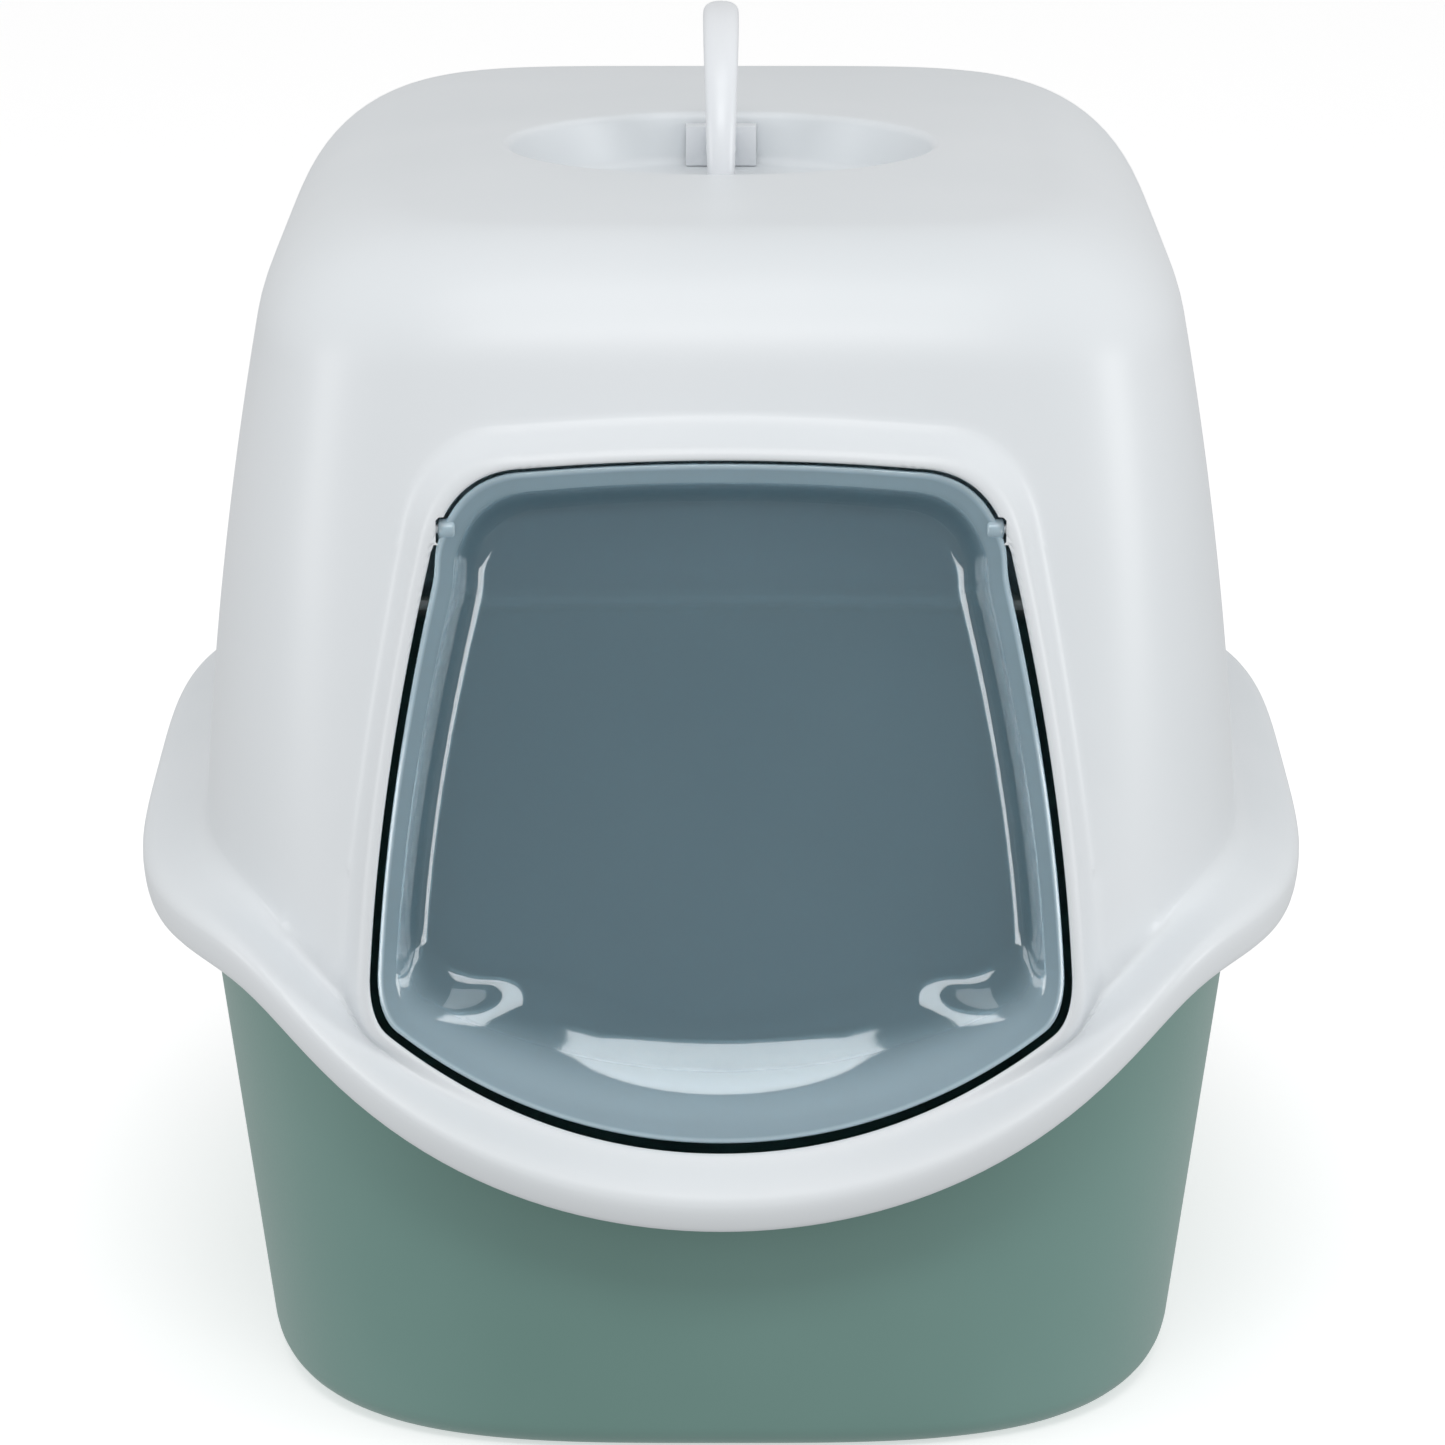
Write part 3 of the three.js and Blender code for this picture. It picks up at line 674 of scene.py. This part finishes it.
# ---- brackets ------------------------------------------------------------------------------------
def bevelled_copy(node, name, width):
    """A CAD node's shape with its flat faces made whole and its edges rounded."""
    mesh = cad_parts[node].data.copy()
    bm = bmesh.new()
    bm.from_mesh(mesh)
    bmesh.ops.remove_doubles(bm, verts=bm.verts, dist=1e-5)
    bmesh.ops.dissolve_limit(bm, angle_limit=math.radians(3), verts=bm.verts, edges=bm.edges)
    bm.to_mesh(mesh)
    bm.free()
    mesh.materials.clear()
    obj = bpy.data.objects.new(name, mesh)
    bpy.context.scene.collection.objects.link(obj)
    bevel = obj.modifiers.new("bevel", "BEVEL")
    bevel.width, bevel.segments, bevel.limit_method = width * MM, 3, "ANGLE"
    bevel.angle_limit = math.radians(50)
    bake(obj)
    obj.data.set_sharp_from_angle(angle=math.radians(35))
    return obj


# ---- materials -----------------------------------------------------------------------------------
def nodes_of(name):
    material = bpy.data.materials.new(name)
    material.use_nodes = True
    tree = material.node_tree
    return material, tree, tree.nodes["Principled BSDF"]


def moulded(name, dark, light, roughness, bump=0.12, grain=900.0, coat=0.0):
    """Moulded plastic: a faint cloudy tint, a fine grain, and roughness that varies a little."""
    material, tree, shader = nodes_of(name)
    new, link = tree.nodes.new, tree.links.new
    place = new("ShaderNodeTexCoord")
    cloud = new("ShaderNodeTexNoise")
    cloud.inputs["Scale"].default_value = 6.0
    cloud.inputs["Detail"].default_value = 3.0
    ramp = new("ShaderNodeValToRGB")
    ramp.color_ramp.elements[0].position, ramp.color_ramp.elements[1].position = 0.35, 0.65
    ramp.color_ramp.elements[0].color = (*dark, 1)
    ramp.color_ramp.elements[1].color = (*light, 1)
    fine = new("ShaderNodeTexNoise")
    fine.inputs["Scale"].default_value = grain
    fine.inputs["Detail"].default_value = 2.0
    rough = new("ShaderNodeMapRange")
    rough.inputs["To Min"].default_value = roughness - 0.05
    rough.inputs["To Max"].default_value = roughness + 0.05
    bumpy = new("ShaderNodeBump")
    bumpy.inputs["Strength"].default_value = bump
    bumpy.inputs["Distance"].default_value = 0.0002
    for texture in (cloud, fine):
        link(place.outputs["Object"], texture.inputs["Vector"])
    link(cloud.outputs["Fac"], ramp.inputs["Fac"])
    link(ramp.outputs["Color"], shader.inputs["Base Color"])
    link(fine.outputs["Fac"], rough.inputs["Value"])
    link(rough.outputs["Result"], shader.inputs["Roughness"])
    link(fine.outputs["Fac"], bumpy.inputs["Height"])
    link(bumpy.outputs["Normal"], shader.inputs["Normal"])
    shader.inputs["Coat Weight"].default_value = coat
    shader.inputs["Coat Roughness"].default_value = 0.3
    return material


def clear_plastic(name, tint, deep, painted_highlight_colour):
    """Clear tinted plastic with faint flow marks; the attribute "pale" paints a highlight on it: a light
    colour and less transmission.
    """
    material, tree, shader = nodes_of(name)
    new, link = tree.nodes.new, tree.links.new
    place = new("ShaderNodeTexCoord")
    cloud = new("ShaderNodeTexNoise")
    cloud.inputs["Scale"].default_value = 9.0
    cloud.inputs["Detail"].default_value = 2.0
    ramp = new("ShaderNodeValToRGB")
    ramp.color_ramp.elements[0].position, ramp.color_ramp.elements[1].position = 0.3, 0.7
    ramp.color_ramp.elements[0].color = (*deep, 1)
    ramp.color_ramp.elements[1].color = (*tint, 1)
    # painted highlight: where "pale" is high the colour turns to the light highlight colour and the
    # plastic lets less light through
    pale = new("ShaderNodeAttribute")
    pale.attribute_name = "pale"
    mix = new("ShaderNodeMix")
    mix.data_type = "RGBA"
    mix.inputs["B"].default_value = (*painted_highlight_colour, 1)
    clarity = new("ShaderNodeMapRange")
    clarity.inputs["To Min"].default_value = 0.76
    clarity.inputs["To Max"].default_value = 0.45
    rough = new("ShaderNodeMapRange")
    rough.inputs["To Min"].default_value = 0.02
    rough.inputs["To Max"].default_value = 0.07
    wave = new("ShaderNodeTexNoise")
    wave.inputs["Scale"].default_value = 7.0
    wave.inputs["Detail"].default_value = 0.0
    bumpy = new("ShaderNodeBump")
    bumpy.inputs["Strength"].default_value = 0.01
    bumpy.inputs["Distance"].default_value = 0.0003
    for texture in (cloud, wave):
        link(place.outputs["Object"], texture.inputs["Vector"])
    link(cloud.outputs["Fac"], ramp.inputs["Fac"])
    link(pale.outputs["Fac"], mix.inputs["Factor"])
    link(ramp.outputs["Color"], mix.inputs["A"])
    link(mix.outputs["Result"], shader.inputs["Base Color"])
    link(pale.outputs["Fac"], clarity.inputs["Value"])
    link(clarity.outputs["Result"], shader.inputs["Transmission Weight"])
    link(cloud.outputs["Fac"], rough.inputs["Value"])
    link(rough.outputs["Result"], shader.inputs["Roughness"])
    link(wave.outputs["Fac"], bumpy.inputs["Height"])
    link(bumpy.outputs["Normal"], shader.inputs["Normal"])
    shader.inputs["IOR"].default_value = 1.49
    return material


def set_painted_highlight(obj, value):
    """Paints a highlight, stored as the attribute "pale"; value is a number, or a function of a vertex's
    place in millimetres.
    """
    mesh = obj.data
    layer = mesh.attributes.new("pale", "FLOAT", "POINT")
    places = np.array([v.co for v in mesh.vertices]) / MM
    amount = value(places) if callable(value) else np.full(len(places), value)
    layer.data.foreach_set("value", amount)


def paint(obj, material):
    obj.data.materials.clear()
    obj.data.materials.append(material)
    for p in obj.data.polygons:
        p.material_index = 0
    return obj


def fit(obj, material, body, slot, *nodes):
    paint(obj, material)
    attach(obj, body)
    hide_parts(*nodes)
    return obj


# ---- assembly ------------------------------------------------------------------------------------
WHITE = moulded("white moulded plastic",
                (0.70, 0.735, 0.76), (0.73, 0.76, 0.785), 0.42, 0.05, 1100.0, 0.15)
# a lighter white, the handle's plastic; on the brackets it is painted light that lifts the shade under the
# handle
WHITE_LIGHTER = moulded("lighter white plastic",
                    (0.74, 0.77, 0.80), (0.78, 0.80, 0.83), 0.36, 0.06, 1400.0, 0.15)
PIN = moulded("off-white pin plastic",
              (0.62, 0.65, 0.67), (0.68, 0.70, 0.72), 0.35, 0.04, 1500.0)
GREEN = moulded("sage green moulded plastic",
                (0.143, 0.268, 0.238), (0.163, 0.293, 0.263), 0.45, 0.08, 1000.0, 0.1)
# the last colour is the painted highlight's, laid on where the attribute "pale" is high
CLEAR = clear_plastic("clear blue-grey plastic",
                      (0.315, 0.475, 0.555), (0.29, 0.445, 0.525), (0.68, 0.83, 0.91))

fit(build_tray(), GREEN, "tray", "tray_plastic", "litter_tray")
fit(build_hood(), WHITE, "hood", "hood_plastic", "hood_shell")
flap = build_flap()
# painted highlight along the flap's edge line and on its step
set_painted_highlight(flap, flap_painted_highlight)
fit(flap, CLEAR, "flap", "clear_plastic", "swing_door")
lugs = []
for side, word in ((-1, "left"), (1, "right")):
    lug = turned(f"flap_lug_{word}", pill(5.4, 3.2, 0.9), "x",
                 (side * (EYE_OUT - 2.7), HINGE_Y, HINGE_Z), 40)
    lugs.append(paint(lug, CLEAR))
    # painted highlight: the lug is made light and less clear all over
    set_painted_highlight(lug, 0.8)
    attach(lug, "flap")
    pin = turned(f"flap_pin_{word}", pill(3.4, 1.5, 0.3), "x",
                 (side * 90.6, HINGE_Y, HINGE_Z), 24)
    fit(pin, PIN, "hood", "fitting_plastic", f"door_pin_{word}")
fit(build_handle(), WHITE_LIGHTER, "handle", "handle_plastic", "carry_handle")
for side, word in ((-1, "front"), (1, "rear")):
    bracket = bevelled_copy(f"handle_bracket_{word}", f"bracket_{word}", 0.7)
    # painted light: the brackets get the lighter white to lift the shade they sit in under the handle
    fit(bracket, WHITE_LIGHTER, "hood", "hood_plastic", f"handle_bracket_{word}")
    pin = turned(f"grip_pin_{word}", pill(7.6, 2.2, 0.4), "y",
                 (0, RECESS_Y + side * 64.7, PIVOT_Z), 28)
    fit(pin, PIN, "hood", "fitting_plastic", f"handle_pin_{word}")


# ---- stage, light and camera ---------------------------------------------------------------------
def build_stage():
    floor = bpy.data.meshes.new("floor")
    floor.from_pydata([(-20, -20, 0), (20, -20, 0), (20, 20, 0), (-20, 20, 0)], [], [(0, 1, 2, 3)])
    obj = bpy.data.objects.new("floor", floor)
    bpy.context.scene.collection.objects.link(obj)
    material, tree, shader = nodes_of("pale floor")
    noise = tree.nodes.new("ShaderNodeTexNoise")
    noise.inputs["Scale"].default_value = 3.0
    ramp = tree.nodes.new("ShaderNodeValToRGB")
    ramp.color_ramp.elements[0].color = (0.70, 0.70, 0.70, 1)
    ramp.color_ramp.elements[1].color = (0.73, 0.73, 0.73, 1)
    tree.links.new(noise.outputs["Fac"], ramp.inputs["Fac"])
    tree.links.new(ramp.outputs["Color"], shader.inputs["Base Color"])
    shader.inputs["Roughness"].default_value = 0.8
    shader.inputs["Emission Color"].default_value = (1, 1, 1, 1)
    shader.inputs["Emission Strength"].default_value = 0.52
    obj.visible_diffuse = obj.visible_glossy = False
    floor.materials.append(material)


def softbox(name, azimuth, elevation, width, height, power, reach=2.6):
    """A rectangular light aimed at the box from a distance; azimuth 0 is in front, 90 towards +X."""
    data = bpy.data.lights.new(name, "AREA")
    data.energy, data.shape, data.size, data.size_y = power, "RECTANGLE", width, height
    obj = bpy.data.objects.new(name, data)
    bpy.context.scene.collection.objects.link(obj)
    turn, rise = math.radians(azimuth), math.radians(elevation)
    middle = Vector((0, 0, AIM_HEIGHT))
    obj.location = middle + reach * Vector((math.cos(rise) * math.sin(turn),
                                            -math.cos(rise) * math.cos(turn), math.sin(rise)))
    obj.rotation_euler = (middle - obj.location).to_track_quat("-Z", "Y").to_euler()
    return obj


build_stage()
softbox("front_light", 0, 43, 1.0, 0.5, 13.2)
softbox("top_light", 0, 68, 1.3, 1.1, 10.7)
softbox("left_light", -76, 9, 0.8, 1.0, 10.5)
softbox("right_light", 76, 9, 0.8, 1.0, 15.0)
clear_pieces = bpy.data.collections.new("clear_pieces")
for obj in (flap, *lugs):
    clear_pieces.objects.link(obj)
for side, word in ((-1, "left"), (1, "right")):
    glint = softbox(f"{word}_glint", side * 33, -4.5, 0.42, 0.2, 2.6, 0.8)
    glint.visible_camera = glint.visible_diffuse = False
    glint.light_linking.receiver_collection = clear_pieces
world = bpy.data.worlds.new("soft light")
bpy.context.scene.world = world
world.use_nodes = True
world.node_tree.nodes["Background"].inputs["Color"].default_value = (1, 1, 1, 1)
world.node_tree.nodes["Background"].inputs["Strength"].default_value = 0.605

camera = bpy.data.cameras.new("camera")
camera.lens, camera.sensor_width = 168.2, 36
eye = bpy.data.objects.new("camera", camera)
bpy.context.scene.collection.objects.link(eye)
tilt, reach = math.radians(13), 2.4
eye.location = (0, -reach * math.cos(tilt), AIM_HEIGHT + reach * math.sin(tilt))
eye.rotation_euler = (math.pi / 2 - tilt, 0, 0)
camera.shift_x, camera.shift_y = 1.5 / 1445, -30.5 / 1445  # in widths of the picture
bpy.context.scene.camera = eye
bpy.context.scene.view_settings.view_transform = "Standard"
